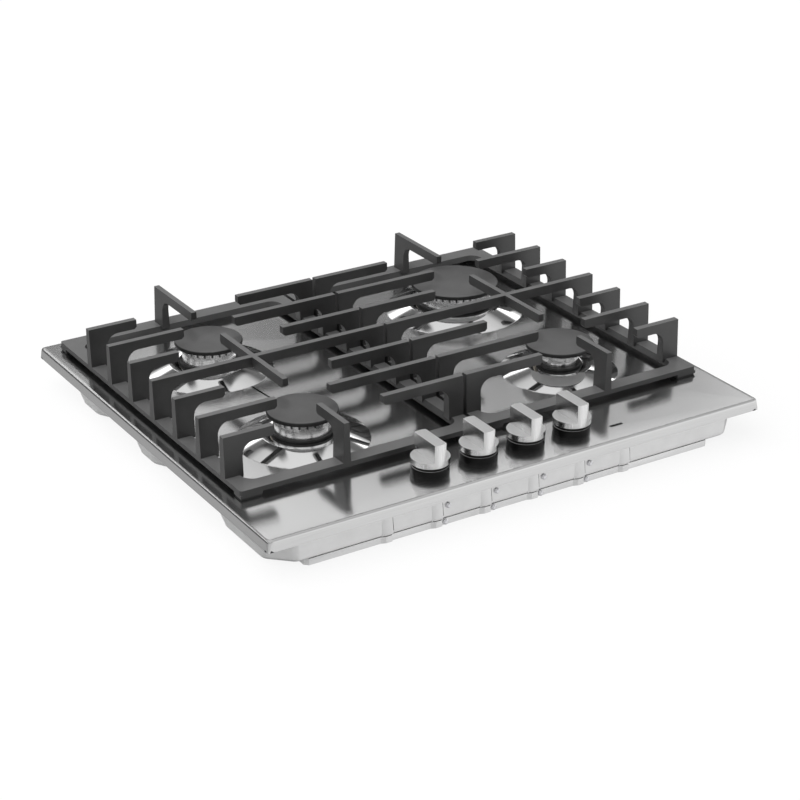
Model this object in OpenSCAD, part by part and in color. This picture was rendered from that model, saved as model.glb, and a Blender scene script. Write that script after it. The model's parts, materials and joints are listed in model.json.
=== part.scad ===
// Built-in gas cooktop with four burners, two cast pan supports and four front knobs.
// Origin: centre of the bottom face of the base tray. X to the right, Y to the rear, Z up.

/* [Top plate] */
// Width of the top plate above its flared skirt, left to right
plate_w = 582; // [574:1:600]
// Depth of the top plate above its flared skirt, front to rear
plate_d = 520; // [514:1:540]
// Sheet thickness of the top plate
plate_t = 1; // [0.8:0.1:1.2]
// Plan radius of the plate corners
plate_corner_r = 5; // [4.5:0.5:12]
// Radius of the pressed edge
plate_edge_r = 3; // [2:0.5:4]
// Depth of the rim, from the top face down to the worktop
skirt_h = 12.6; // [12:0.2:15]
// Outward flare of the skirt at its lower edge
skirt_flare = 2; // [0.5:0.5:3]

/* [Housing] */
// Height of the housing box below the worktop
box_h = 25.4; // [25:0.2:34]
// Depth of the base tray below the box
tray_h = 7; // [7:0.5:10]
// Wall of the housing sheets
sheet_t = 1; // [0.8:0.1:1.2]
// Distance from the plate edge to the housing bulges, left and right
side_overhang = 11; // [9:0.5:13]
// Distance from the plate edge to the housing, front
front_overhang = 8; // [8:0.5:12]
// Distance from the plate edge to the housing, rear
rear_overhang = 22; // [18:1:26]
// Depth of the side bulges
bulge_depth = 18; // [14:1:20]
// Size of the slanted front corners, across
corner_cut_w = 24; // [18:1:28]
// Size of the slanted front corners, front to rear
corner_cut_d = 23; // [18:1:28]
// Length of the front bulge behind the slanted corner
front_bulge_len = 80; // [60:1:90]
// Centre of the middle bulge, behind the plate centre
mid_bulge_y = 15; // [5:1:25]
// Length of the middle bulge
mid_bulge_len = 46; // [36:1:56]
// Distance from the rear of the housing to the rear bulge
rear_bulge_gap = 58; // [48:1:66]
// Length of the rear bulge
rear_bulge_len = 50; // [40:1:60]
// Length of the slope at the front end of a bulge
bulge_front_slope = 31; // [24:1:36]
// Length of the slope at the rear end of a bulge
bulge_rear_slope = 12; // [8:1:16]
// Width of the inward flange round the open underside of the box
floor_flange_w = 26; // [24:1:30]
// Distance from the straight side walls of the housing to the base tray
tray_side_inset = 19.5; // [17:0.5:23]
// Offset of the base tray from the centre line
tray_x = -4.5; // [-6:0.5:6]
// Radius of the screw holes for the worktop clamps
clamp_hole_r = 2.25; // [1.5:0.25:3]

/* [Pan supports] */
// Height of the finger tops above the plate
support_h = 52.7; // [50:0.1:56]
// Distance from the plate edge to the supports, left and right
support_side_inset = 15.1; // [13:0.1:17]
// Distance from the plate edge to the supports, front
support_front_inset = 81.4; // [78:0.1:84]
// Distance from the plate edge to the supports, rear
support_rear_inset = 16.4; // [14:0.1:20]
// Gap between the two supports
support_gap = 4; // [2:0.5:6]
// Height of the rubber feet and lugs below the base frame
support_lift = 5; // [4.5:0.1:6]
// Height of the base frame bars
bar_h = 5.1; // [4.5:0.1:6]
// Width of the outer side bar
outer_bar_w = 20; // [19:0.5:22]
// Width of the inner side bar
inner_bar_w = 18.5; // [17:0.5:20]
// Width of the front bar
front_bar_w = 21; // [20:0.5:22]
// Width of the rear bar
rear_bar_w = 24; // [22:0.5:26]
// Slope of the inner faces of the bars
bar_slope = 4; // [2:0.5:5]
// Plan radius of the outer corners of the base frame
frame_corner_r = 3; // [2:0.5:5]
// Plan radius of the inner corners of the base frame
frame_inner_r = 14; // [10:1:16]
// Depth of the finger arms
arm_depth = 10.2; // [9:0.1:12]
// Radius between a leg and its arm
under_arm_r = 13; // [8:1:16]
// Thickness of a finger at its top
finger_top_w = 7; // [6:0.5:8]
// Thickness of a finger at its foot
finger_foot_w = 11; // [9:0.5:12]
// Thickness of the front, rear and cross blades at their top
blade_top_w = 6; // [5:0.5:7]
// Thickness of the front and rear blades at their foot
blade_foot_w = 9; // [8:0.5:10]
// Width of the outer legs along the finger
outer_leg_w = 20; // [17:0.5:20]
// Width of the inner legs along the finger
inner_leg_w = 17.5; // [14:0.5:18.5]
// Width of the front and rear legs along their blade
end_leg_w = 20; // [17:0.5:21]
// Distance from the front edge of a support to its first finger
first_finger_inset = 36.7; // [34:0.1:40]
// Distance from the rear edge of a support to its last finger
last_finger_inset = 78.3; // [76:0.1:82]
// Distance from the burner axis to the tips of the long fingers
long_tip_gap = 30.5; // [26:0.5:34]
// Distance from the burner axis to the tips of the short fingers
short_tip_gap = 61.7; // [56:0.5:66]
// Distance from the burner axis to the tips of the front, rear and cross blades
blade_tip_gap = 34; // [30:0.5:38]
// Bevel under each finger tip
tip_bevel = 2.5; // [1:0.5:4]
// Inset of the rear leg from the rear edge of the base frame
rear_leg_inset = 4.6; // [2:0.2:4.8]

/* [Burners] */
// Distance from the plate edge to the burner axes, left and right
burner_side_inset = 132.5; // [129:0.5:137]
// Height of the cap tops above the plate
cap_top_h = 33.7; // [32:0.1:36]
// Thickness of the caps
cap_t = 4.2; // [3.5:0.1:5]
// Radius of the rounded cap rim
cap_edge_r = 1.4; // [1:0.1:1.6]
// Height of the burner collars over their surrounds
collar_rise = 3; // [2.5:0.1:4.5]
// Height of the flame slots
slot_h = 6; // [5:0.1:7]
// Width of the flame slots
slot_w = 1.9; // [1.6:0.1:3]
// Spacing of the flame slots round the crown
slot_pitch = 8; // [7:0.1:10]
// Wall of the crowns and cups
crown_wall = 2.6; // [2.2:0.1:3]

/* [Semi-rapid burners, front left and rear left] */
// Cap radius
semi_cap_r = 36.6; // [34:0.1:38]
// Crown radius
semi_crown_r = 29.4; // [28:0.1:30]
// Collar radius
semi_collar_r = 31.5; // [31:0.1:32]
// Radius of the flat top of the polished cone
semi_plateau_r = 44; // [43:0.5:46]
// Radius of the foot of the polished cone
semi_foot_r = 69; // [62:0.5:69]
// Height of the polished cone
semi_cone_h = 9; // [8:0.1:10]

/* [Rapid burner, rear right] */
// Cap radius
rapid_cap_r = 49.7; // [47:0.1:51]
// Crown radius
rapid_crown_r = 41.6; // [40:0.1:42]
// Collar radius
rapid_collar_r = 43.6; // [43:0.1:44]
// Radius of the flat top of the polished cone
rapid_plateau_r = 54.5; // [54:0.5:57]
// Radius of the foot of the polished cone
rapid_foot_r = 80; // [74:0.5:80]
// Height of the polished cone
rapid_cone_h = 9.5; // [8.5:0.1:10]

/* [Auxiliary burner, front right] */
// Cap radius
aux_cap_r = 36.8; // [34:0.1:38]
// Crown radius
aux_crown_r = 21.3; // [20.5:0.1:22]
// Collar radius
aux_collar_r = 23.5; // [23:0.1:24]
// Radius of the flat top of the polished cone
aux_plateau_r = 35.5; // [35:0.5:38]
// Radius of the foot of the polished cone
aux_foot_r = 64; // [58:0.5:64]
// Height of the polished cone
aux_cone_h = 8; // [7.5:0.1:9]

/* [Knobs] */
// Distance between the knobs
knob_pitch = 56.8; // [54:0.2:60]
// Offset of the knob row from the centre line
knob_row_x = -3.5; // [-10:0.5:10]
// Distance from the front edge of the plate to the knob axes
knob_inset = 40.7; // [40:0.1:43]
// Radius of the knob disc
knob_r = 19.8; // [19.5:0.1:21]
// Thickness of the knob disc
knob_disc_t = 4.4; // [4:0.1:5]
// Height of the knob tops above the plate
knob_h = 36; // [34:0.1:40]
// Width of the raised grip
grip_w = 13.3; // [12:0.1:16]
// Height of the underside of the knob disc above the plate
knob_lift = 10.8; // [10.8:0.1:12]
// Radius of the bezel round each knob
bezel_r = 19.3; // [19:0.1:19.5]
// Height of the bezels
bezel_h = 7.6; // [7:0.1:7.6]
// Travel of a knob when it is pushed
push_travel = 2.8; // [2:0.1:2.8]
// Radius of the spindles
spindle_r = 4; // [3.5:0.1:4.5]
// Flat on the spindle, measured from the axis
spindle_flat = 2.4; // [2:0.1:2.6]

/* [Gas parts] */
// Radius of the valve plugs
plug_r = 6.25; // [5.5:0.05:6.5]
// Width of a valve body
valve_w = 24; // [22:0.5:26]
// Depth of a valve body
valve_d = 26; // [24:0.5:28]
// Radius of the valve bonnet
bonnet_r = 9; // [8.5:0.1:10]
// Radius of the manifold pipe
manifold_r = 6; // [5:0.1:6.5]
// Radius of the supply pipes to the burners
pipe_r = 3; // [2.5:0.1:3.2]
// Radius over the flats of the pipe nuts
nut_r = 5; // [4.5:0.1:5]
// Radius of the gas inlet thread
inlet_r = 10.48; // [10:0.01:11]
// Length of the gas inlet thread
inlet_len = 15; // [12:0.5:16]
// Distance from the side wall of the housing to the gas inlet
inlet_side_gap = 44; // [44:1:48]
// Distance from the rear wall of the housing to the gas inlet
inlet_rear_gap = 43; // [38:1:53]

/* [Electric parts] */
// Radius of the ignition electrodes
electrode_r = 2.5; // [2:0.1:2.6]
// Radius of the thermocouples
thermocouple_r = 2.2; // [1.8:0.1:2.4]
// Radius of the ignition leads
lead_r = 1.2; // [1:0.1:1.3]
// Width of the ignition unit
unit_w = 70; // [60:1:80]
// Depth of the ignition unit
unit_d = 40; // [34:1:44]
// Height of the ignition unit
unit_h = 26; // [22:0.5:28]
// Radius of the bore in the mains gland
gland_bore_r = 3.6; // [3:0.1:4]

/* [Hidden] */
$fn = 64;

// Overrun of every cut
over = 1;
// Radial clearance of a shaft in its bore
run_gap = 0.05;
// Clearance between pieces that lift or slide
slide_gap = 0.4;
// Clearance under a piece that rests on another and can be lifted
rest_gap = 0.1;

// Levels
box_z = tray_h;
worktop_z = box_z + box_h;
plate_top = worktop_z + skirt_h;
plate_under = plate_top - plate_t;
cap_top = plate_top + cap_top_h;
cap_under = cap_top - cap_t;

// Housing outline
box_half_w = plate_w / 2 - side_overhang;
waist_half_w = box_half_w - bulge_depth;
box_front = -plate_d / 2 + front_overhang;
box_rear = plate_d / 2 - rear_overhang;
front_bulge_front = box_front + corner_cut_d;
front_bulge_rear = front_bulge_front + front_bulge_len;
mid_bulge_front = mid_bulge_y - mid_bulge_len / 2;
mid_bulge_rear = mid_bulge_y + mid_bulge_len / 2;
rear_bulge_rear = box_rear - rear_bulge_gap;
rear_bulge_front = rear_bulge_rear - rear_bulge_len;

// Seal, top flange and tray
seal_w = 5.5;
top_flange_w = 3.5;
tray_gap = 2;
tray_front = box_front + tray_gap;
tray_rear = box_rear - tray_gap;
tray_corner = 4;
tab_w = 14;
tab_h = 5.5;
inlet_hole_r = 18;

// Pressed ribs of the front wall
rib_w = 12;
rib_depth = 2;
rib_top_drop = 19;
rib_offset = 6.7;
rib_xs = [for (i = [-2.5:1:2.5]) knob_row_x - rib_offset - rib_w + i * knob_pitch];

// Front screws
screw_head_r = 3.1;
screw_head_h = 2.4;
screw_shank_r = 1.5;
screw_len = 8;
upper_screw_drop = 23;
upper_screw_z = plate_top - upper_screw_drop;
lower_screw_shift = -2;
lower_screw_z = screw_head_r + slide_gap;

// Knob row
knob_y = -plate_d / 2 + knob_inset;
knob_xs = [for (i = [0:3]) knob_row_x + (i - 1.5) * knob_pitch];
bezel_floor_t = 1;
bezel_wall = 0.7;
spindle_hole_r = 6;
core_r = bezel_r - bezel_wall - slide_gap;
core_z = plate_top + bezel_floor_t + push_travel + slide_gap;
disc_z = plate_top + knob_lift;
knob_top = plate_top + knob_h;
stem_in_grip = 8;
spindle_top = disc_z + knob_disc_t + stem_in_grip;

// Valve levels and places
rail_t = 1.5;
rail_lift = 2;
rail_top = box_z + rail_lift + rail_t;
rail_margin = 34;
part_gap = 1;
pipe_z = rail_top + nut_r + slide_gap;
manifold_z = pipe_z + nut_r + manifold_r + part_gap;
valve_head_h = 5;
block_top = manifold_z + valve_head_h;
strip_t = 2;
strip_gap = 1.5;
strip_z = plate_under - strip_gap - strip_t;
strip_w = 22;
valve_floor = 2;
boss_len = 3;
boss_r = 4.6;
plug_z = rail_top + valve_floor + rest_gap;
shaft_z = block_top;
plug_top = shaft_z - push_travel - slide_gap;
tongue_w = 2.6;
tongue_len = 5.5;
tongue_slot_gap = 0.1;
gas_way_r = 1.6;
valve_rear = knob_y + valve_d / 2;
port_y = valve_rear + boss_len;
manifold_y = port_y + manifold_r;
manifold_end = 22;
bend_r = 15;
swell = 0.3;
swell_len = 4;

// Leads
thermo_lead_r = 1;
thermo_lead_z = manifold_z + manifold_r + thermo_lead_r + slide_gap;
spark_lead_z = thermo_lead_z + thermo_lead_r + lead_r + slide_gap;

// Pan supports
support_outer = plate_w / 2 - support_side_inset;
support_inner = support_gap / 2;
support_w = support_outer - support_inner;
support_front = -plate_d / 2 + support_front_inset;
support_rear = plate_d / 2 - support_rear_inset;
support_d = support_rear - support_front;
support_mid_x = (support_outer + support_inner) / 2;
support_mid_y = (support_front + support_rear) / 2;
frame_z = plate_top + support_lift;
finger_top = plate_top + support_h;
finger_pitch = (support_d - first_finger_inset - last_finger_inset) / 6;
finger_ys = [for (i = [0:6]) support_front + first_finger_inset + i * finger_pitch];
front_burner_y = finger_ys[1];
mid_finger_y = finger_ys[3];
rear_burner_y = finger_ys[5];
lug_len = 24;
lug_w = 14;
lug_h = 3;
pad_inset = 1;
pad_peg_r = 2.5;
pad_peg_h = 2;

burner_x = plate_w / 2 - burner_side_inset;

// Burners: cap, crown, collar, plateau, foot and cone height of each kind
SEMI = [semi_cap_r, semi_crown_r, semi_collar_r, semi_plateau_r, semi_foot_r, semi_cone_h];
RAPID = [rapid_cap_r, rapid_crown_r, rapid_collar_r, rapid_plateau_r, rapid_foot_r, rapid_cone_h];
AUX = [aux_cap_r, aux_crown_r, aux_collar_r, aux_plateau_r, aux_foot_r, aux_cone_h];
// The burners in the order of their knobs: side, rear or front, kind
burner_rows = [
    [-burner_x, front_burner_y, SEMI],
    [-burner_x, rear_burner_y, SEMI],
    [burner_x, rear_burner_y, RAPID],
    [burner_x, front_burner_y, AUX]
];
function bx(i) = burner_rows[i][0];
function by(i) = burner_rows[i][1];
function cap_r(i) = burner_rows[i][2][0];
function crown_r(i) = burner_rows[i][2][1];
function collar_r(i) = burner_rows[i][2][2];
function plateau_r(i) = burner_rows[i][2][3];
function foot_r(i) = burner_rows[i][2][4];
function cone_h(i) = burner_rows[i][2][5];
function plateau_z(i) = plate_top + cone_h(i);
function collar_top(i) = plateau_z(i) + collar_rise;

collar_gap = 0.3;
flange_t = 3;
flange_rim = 2;
cup_step = 4;
cup_level_share = 0.72;
cup_z = box_z + box_h * cup_level_share;
cup_floor_t = 3;
cup_block_w = 24;
block_z = box_z + rail_lift;
injector_r = 4;
injector_len = 14;
crown_floor_t = 2;
crown_neck = 5;
crown_band_h = 8;
crown_step = 0.5;
throat_r = 8;
spigot_h = 4;
cap_ring_h = 2.5;
cap_ring_w = 2;

// Angles round a burner, anticlockwise from the right
electrode_angle = 50;
thermocouple_angle = 110;
stud_angles = [150, 330];
pin_ring_gap = 5;
function pin_ring_r(i) = collar_r(i) + pin_ring_gap;
pin_hole_gap = 0.4;
pin_foot_r = 3.6;
pin_foot_h = 5;
pin_tail = 3;
pin_head_gap = 4;
spark_tip_h = 2;
electrode_z = spark_lead_z - pin_tail;
electrode_top = cap_under - pin_head_gap;
thermocouple_z = thermo_lead_z - pin_tail;
thermocouple_top = electrode_top;
stud_r = 1.5;
stud_len = 8;
stud_nut_r = 3;
stud_nut_h = 2.4;

// Inlet, ignition unit and gland
inlet_x = waist_half_w - inlet_side_gap;
inlet_y = box_rear - inlet_rear_gap;
inlet_body_w = 25;
inlet_z = 1;
inlet_body_z = inlet_z + inlet_len;
unit_rear_gap = 46;
unit_y = box_rear - unit_rear_gap;
unit_z = sheet_t;
post_w = 7;
post_pitch = 20;
gland_x_share = 0.36;
gland_x = -plate_w * gland_x_share;
gland_drop = 12;
gland_z = worktop_z - gland_drop;
gland_body_r = 7;
gland_flange_r = 9;
gland_flange_t = 2.5;
gland_in = 8;
gland_out = 10;

// Flat rectangle with round corners, centred
module rounded_rect(w, d, r) {
    square([w, d - 2 * r], center = true);
    square([w - 2 * r, d], center = true);
    for (sx = [-1, 1], sy = [-1, 1])
        translate([sx * (w / 2 - r), sy * (d / 2 - r)]) circle(r = r);
}

// Sweeps a flat profile round a rounded rectangle; the profile's x is 0 at the outer edge
module ring_sweep(w, d, r) {
    for (i = [0:3]) {
        half = i % 2 == 0 ? w / 2 : d / 2;
        side = i % 2 == 0 ? d - 2 * r : w - 2 * r;
        rotate([0, 0, 90 * i]) {
            translate([half, side / 2, 0])
                rotate([90, 0, 0]) linear_extrude(height = side) children();
            translate([half - r, side / 2, 0])
                rotate_extrude(angle = 90) translate([r, 0]) children();
        }
    }
}

// Rectangular hole with round corners whose walls lean outwards on the way down
module tapered_hole(w, d, r, h, slope) {
    cx = w / 2 - r;
    cy = d / 2 - r;
    translate([0, cy, 0]) rotate([90, 0, 0]) linear_extrude(height = 2 * cy)
        polygon([[-w / 2 + slope, 0], [w / 2 - slope, 0], [w / 2, h], [-w / 2, h]]);
    translate([-cx, 0, 0]) rotate([90, 0, 90]) linear_extrude(height = 2 * cx)
        polygon([[-d / 2 + slope, 0], [d / 2 - slope, 0], [d / 2, h], [-d / 2, h]]);
    for (sx = [-1, 1], sy = [-1, 1])
        translate([sx * cx, sy * cy, 0]) cylinder(h = h, r1 = r - slope, r2 = r);
}

// Straight round bar from one point to another at one level
module level_rod(a, b, r) {
    run = b - a;
    translate([a[0], a[1], 0]) rotate([0, 0, atan2(run[1], run[0])])
        rotate([0, 90, 0]) cylinder(h = norm(run), r = r);
}

// Quarter bend of a level pipe round the corner p, from heading h1 to heading h1 + turn
module level_bend(p, h1, turn, r, bend) {
    side = turn > 0 ? 1 : -1;
    start = p - bend * [cos(h1), sin(h1)];
    centre = start + side * bend * [-sin(h1), cos(h1)];
    translate([centre[0], centre[1], 0])
        rotate([0, 0, side > 0 ? h1 - 90 : h1])
            rotate_extrude(angle = 90) translate([bend, 0]) circle(r = r);
}

// Level pipe through right-angled corners
module level_pipe(points, r, bend) {
    last = len(points) - 1;
    for (i = [0:last - 1]) {
        dir = (points[i + 1] - points[i]) / norm(points[i + 1] - points[i]);
        a = points[i] + (i > 0 ? bend : 0) * dir;
        b = points[i + 1] - (i < last - 1 ? bend : 0) * dir;
        level_rod(a, b, r);
    }
    for (i = [1:1:last - 1]) {
        d1 = points[i] - points[i - 1];
        d2 = points[i + 1] - points[i];
        level_bend(points[i], atan2(d1[1], d1[0]), d1[0] * d2[1] - d1[1] * d2[0], r, bend);
        for (d = [-d1 / norm(d1), d2 / norm(d2)])
            level_rod(points[i] + (bend - swell_len / 2) * d, points[i] + (bend + swell_len / 2) * d,
                r + swell);
    }
}

// Thin level lead through square corners
module level_lead(points, r) {
    last = len(points) - 1;
    for (i = [0:last - 1]) {
        dir = (points[i + 1] - points[i]) / norm(points[i + 1] - points[i]);
        a = points[i] - (i > 0 ? r : 0) * dir;
        b = points[i + 1] + (i < last - 1 ? r : 0) * dir;
        level_rod(a, b, r);
    }
}

// Hexagonal nut along Z with its hole
module nut(r, h, hole) {
    difference() {
        cylinder(h = h, r = r, $fn = 6);
        translate([0, 0, -over]) cylinder(h = h + 2 * over, r = hole);
    }
}

// Points at a burner, turned by an angle round its axis
module at_burner(i) {
    translate([bx(i), by(i), 0]) children();
}
module at_pin(i, angle) {
    at_burner(i) rotate([0, 0, angle]) translate([pin_ring_r(i), 0, 0]) children();
}

// Pressed top plate

module edge_profile() {
    intersection() {
        difference() {
            translate([-plate_edge_r, -plate_edge_r]) circle(r = plate_edge_r);
            translate([-plate_edge_r, -plate_edge_r]) circle(r = plate_edge_r - plate_t);
        }
        translate([-plate_edge_r, -plate_edge_r]) square(plate_edge_r);
    }
    polygon([
        [-plate_t, -plate_edge_r], [0, -plate_edge_r],
        [skirt_flare, -skirt_h], [skirt_flare - plate_t, -skirt_h]
    ]);
}

module top_plate() {
    flat_w = plate_w - 2 * plate_edge_r;
    flat_d = plate_d - 2 * plate_edge_r;
    color("silver") {
        translate([0, 0, plate_top]) ring_sweep(plate_w, plate_d, plate_corner_r) edge_profile();
        difference() {
            union() {
                translate([0, 0, plate_under]) linear_extrude(height = plate_t)
                    rounded_rect(flat_w, flat_d, plate_corner_r - plate_edge_r);
                for (i = [0:3]) at_burner(i) translate([0, 0, plate_top])
                    cylinder(h = cone_h(i), r1 = foot_r(i), r2 = plateau_r(i));
            }
            for (i = [0:3]) {
                at_burner(i) translate([0, 0, plate_under])
                    cylinder(h = cone_h(i), r1 = foot_r(i), r2 = plateau_r(i));
                at_burner(i) translate([0, 0, plate_under])
                    cylinder(h = cone_h(i) + plate_t + over, r = collar_r(i) + collar_gap);
                at_pin(i, electrode_angle) translate([0, 0, plate_under])
                    cylinder(h = cone_h(i) + plate_t + over, r = electrode_r + pin_hole_gap);
                at_pin(i, thermocouple_angle) translate([0, 0, plate_under])
                    cylinder(h = cone_h(i) + plate_t + over, r = thermocouple_r + pin_hole_gap);
            }
            for (x = knob_xs) translate([x, knob_y, plate_under - over])
                cylinder(h = plate_t + 2 * over, r = spindle_hole_r);
        }
        for (i = [0:3], a = stud_angles)
            at_pin(i, a) translate([0, 0, plateau_z(i) - plate_t - stud_len])
                cylinder(h = stud_len + plate_t / 2, r = stud_r);
    }
}

module seal_strip() {
    seal_h = skirt_h - plate_edge_r - over;
    inset = plate_t + run_gap;
    outer_w = plate_w - 2 * inset;
    outer_d = plate_d - 2 * inset;
    color("dimgray") translate([0, 0, worktop_z]) difference() {
        linear_extrude(height = seal_h)
            rounded_rect(outer_w, outer_d, plate_corner_r - inset);
        translate([0, 0, -over]) linear_extrude(height = seal_h + 2 * over)
            square([outer_w - 2 * seal_w, outer_d - 2 * seal_w], center = true);
    }
}

// Housing below the worktop

function half_outline(i) = [
    [box_half_w - corner_cut_w - i / 2, box_front + i],
    [box_half_w - i, front_bulge_front + i / 2],
    [box_half_w - i, front_bulge_rear - i / 2],
    [waist_half_w - i, front_bulge_rear + bulge_rear_slope - i / 2],
    [waist_half_w - i, mid_bulge_front - bulge_front_slope + i / 2],
    [box_half_w - i, mid_bulge_front + i / 2],
    [box_half_w - i, mid_bulge_rear - i / 2],
    [waist_half_w - i, mid_bulge_rear + bulge_rear_slope - i / 2],
    [waist_half_w - i, rear_bulge_front - bulge_front_slope + i / 2],
    [box_half_w - i, rear_bulge_front + i / 2],
    [box_half_w - i, rear_bulge_rear - i / 2],
    [waist_half_w - i, rear_bulge_rear + bulge_rear_slope - i / 2],
    [waist_half_w - i, box_rear - i]
];

function housing_outline(i) = concat(
    half_outline(i),
    [for (k = [len(half_outline(i)) - 1:-1:0]) [-half_outline(i)[k][0], half_outline(i)[k][1]]]
);

module housing_box() {
    flange_top = plate_under;
    floor_w = 2 * (waist_half_w - floor_flange_w);
    floor_d = box_rear - box_front - 2 * floor_flange_w;
    floor_y = (box_rear + box_front) / 2;
    clamp_y = [front_bulge_front + front_bulge_len / 2, rear_bulge_rear - rear_bulge_len / 2];
    root = sheet_t / 2;
    color("lightgray") {
        difference() {
            translate([0, 0, box_z]) linear_extrude(height = flange_top - box_z)
                polygon(housing_outline(0));
            translate([0, 0, box_z + sheet_t]) linear_extrude(height = flange_top)
                polygon(housing_outline(sheet_t));
            translate([-floor_w / 2, floor_y - floor_d / 2, box_z - over])
                cube([floor_w, floor_d, sheet_t + 2 * over]);
            for (x = knob_xs) translate([x, box_front - over, upper_screw_z])
                rotate([-90, 0, 0]) cylinder(h = sheet_t + 2 * over, r = screw_shank_r + run_gap);
            for (s = [-1, 1], y = clamp_y)
                translate([s * (box_half_w - bulge_depth / 2), y, box_z - over])
                    cylinder(h = sheet_t + 2 * over, r = clamp_hole_r);
            translate([gland_x, box_rear - sheet_t - over, gland_z])
                rotate([-90, 0, 0]) cylinder(h = sheet_t + 2 * over, r = gland_body_r + run_gap);
        }
        difference() {
            translate([0, 0, flange_top - sheet_t]) linear_extrude(height = sheet_t)
                square([2 * (box_half_w + top_flange_w), plate_d - 2 * (plate_t + seal_w)],
                    center = true);
            translate([0, 0, flange_top - sheet_t - over]) linear_extrude(height = sheet_t + 2 * over)
                polygon(housing_outline(sheet_t));
        }
        for (x = rib_xs) translate([x, box_front, 0]) rotate([90, 0, 90]) linear_extrude(height = rib_w)
            polygon([[root, box_z], [root, plate_top - rib_top_drop], [0, plate_top - rib_top_drop],
                [-rib_depth, box_z + sheet_t], [-rib_depth, box_z]]);
        for (x = knob_xs) difference() {
            translate([x - tab_w / 2, tray_front + sheet_t, box_z - tab_h])
                cube([tab_w, sheet_t, tab_h + root]);
            translate([x + lower_screw_shift, tray_front, lower_screw_z])
                rotate([-90, 0, 0]) cylinder(h = 2 * sheet_t + over, r = screw_shank_r + run_gap);
        }
    }
}

module tray_outline(i) {
    half = waist_half_w - tray_side_inset;
    translate([tray_x, 0]) polygon([
        [-half + tray_corner, tray_front + i], [half - tray_corner, tray_front + i],
        [half - i, tray_front + tray_corner], [half - i, tray_rear - tray_corner],
        [half - tray_corner, tray_rear - i], [-half + tray_corner, tray_rear - i],
        [-half + i, tray_rear - tray_corner], [-half + i, tray_front + tray_corner]
    ]);
}

module base_tray() {
    color("gainsboro") difference() {
        union() {
            linear_extrude(height = tray_h) tray_outline(0);
            for (x = rib_xs) translate([x, tray_front - rib_depth, 0]) cube([rib_w, 2 * rib_depth, tray_h]);
        }
        translate([0, 0, sheet_t]) linear_extrude(height = tray_h) tray_outline(sheet_t);
        for (x = knob_xs) translate([x + lower_screw_shift, tray_front - over, lower_screw_z])
            rotate([-90, 0, 0]) cylinder(h = sheet_t + 2 * over, r = screw_shank_r + run_gap);
        translate([inlet_x, inlet_y, -over]) cylinder(h = sheet_t + 2 * over, r = inlet_hole_r);
    }
}

// Pan-head screw along +Y, its head seat at the origin
module pan_screw(length) {
    rotate([-90, 0, 0]) cylinder(h = length, r = screw_shank_r);
    rotate([90, 0, 0]) {
        cylinder(h = screw_head_h / 2, r = screw_head_r);
        translate([0, 0, screw_head_h / 2])
            cylinder(h = screw_head_h / 2, r1 = screw_head_r, r2 = screw_head_r / 2);
    }
}

module front_screws() {
    color("silver") for (x = knob_xs) {
        translate([x, box_front, upper_screw_z]) pan_screw(screw_len);
        translate([x + lower_screw_shift, tray_front, lower_screw_z]) pan_screw(screw_len);
    }
}

module mains_gland() {
    color("dimgray") translate([gland_x, box_rear, gland_z]) rotate([-90, 0, 0]) difference() {
        union() {
            translate([0, 0, -gland_in]) cylinder(h = gland_in + gland_out, r = gland_body_r);
            cylinder(h = gland_flange_t, r = gland_flange_r);
            translate([0, 0, -sheet_t - gland_flange_t])
                cylinder(h = gland_flange_t, r = gland_flange_r);
        }
        translate([0, 0, -gland_in - over])
            cylinder(h = gland_in + gland_out + 2 * over, r = gland_bore_r);
    }
}

// Gas parts

module valve_rail() {
    left = knob_xs[0] - rail_margin;
    length = knob_xs[3] - knob_xs[0] + 2 * rail_margin;
    front = box_front + sheet_t;
    color("gray") difference() {
        union() {
            translate([left, front, rail_top - rail_t])
                cube([length, rail_t, plate_under - 3 * sheet_t - rail_top]);
            translate([left, front, rail_top - rail_t])
                cube([length, valve_rear - front, rail_t]);
        }
        for (x = knob_xs) translate([x, front - over, upper_screw_z])
            rotate([-90, 0, 0]) cylinder(h = rail_t + 2 * over, r = screw_shank_r + run_gap);
    }
}

module gas_valve(i) {
    color("darkkhaki") translate([knob_xs[i], knob_y, 0]) difference() {
        union() {
            translate([-valve_w / 2, -valve_d / 2, rail_top])
                cube([valve_w, valve_d, block_top - rail_top]);
            translate([0, 0, block_top]) cylinder(h = strip_z - block_top, r = bonnet_r);
            for (z = [pipe_z, manifold_z]) translate([0, valve_d / 2, z])
                rotate([-90, 0, 0]) cylinder(h = boss_len, r = boss_r);
        }
        translate([0, 0, rail_top + valve_floor])
            cylinder(h = block_top - rail_top - valve_floor, r = plug_r + run_gap);
        translate([0, 0, block_top - over])
            cylinder(h = strip_z - block_top + 2 * over, r = spindle_r + run_gap);
        for (z = [pipe_z, manifold_z]) translate([0, 0, z])
            rotate([-90, 0, 0]) cylinder(h = valve_d / 2 + boss_len + over, r = gas_way_r);
    }
}

module valve_plug(i) {
    slot = tongue_w + 2 * tongue_slot_gap;
    slot_depth = tongue_len + slide_gap;
    color("goldenrod") translate([knob_xs[i], knob_y, 0]) difference() {
        translate([0, 0, plug_z]) cylinder(h = plug_top - plug_z, r = plug_r);
        translate([-slot / 2, -plug_r - over, plug_top - slot_depth])
            cube([slot, 2 * (plug_r + over), slot_depth + over]);
        translate([0, 0, pipe_z]) rotate([-90, 0, 0])
            cylinder(h = 2 * (plug_r + over), r = gas_way_r, center = true);
    }
}

// Round shaft with one flat towards the rear above the knob's seat
module d_shaft(r, h, gap) {
    intersection() {
        cylinder(h = h, r = r + gap);
        translate([-2 * r, -2 * r, -over]) cube([4 * r, 2 * r + spindle_flat + gap, h + 2 * over]);
    }
}

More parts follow.
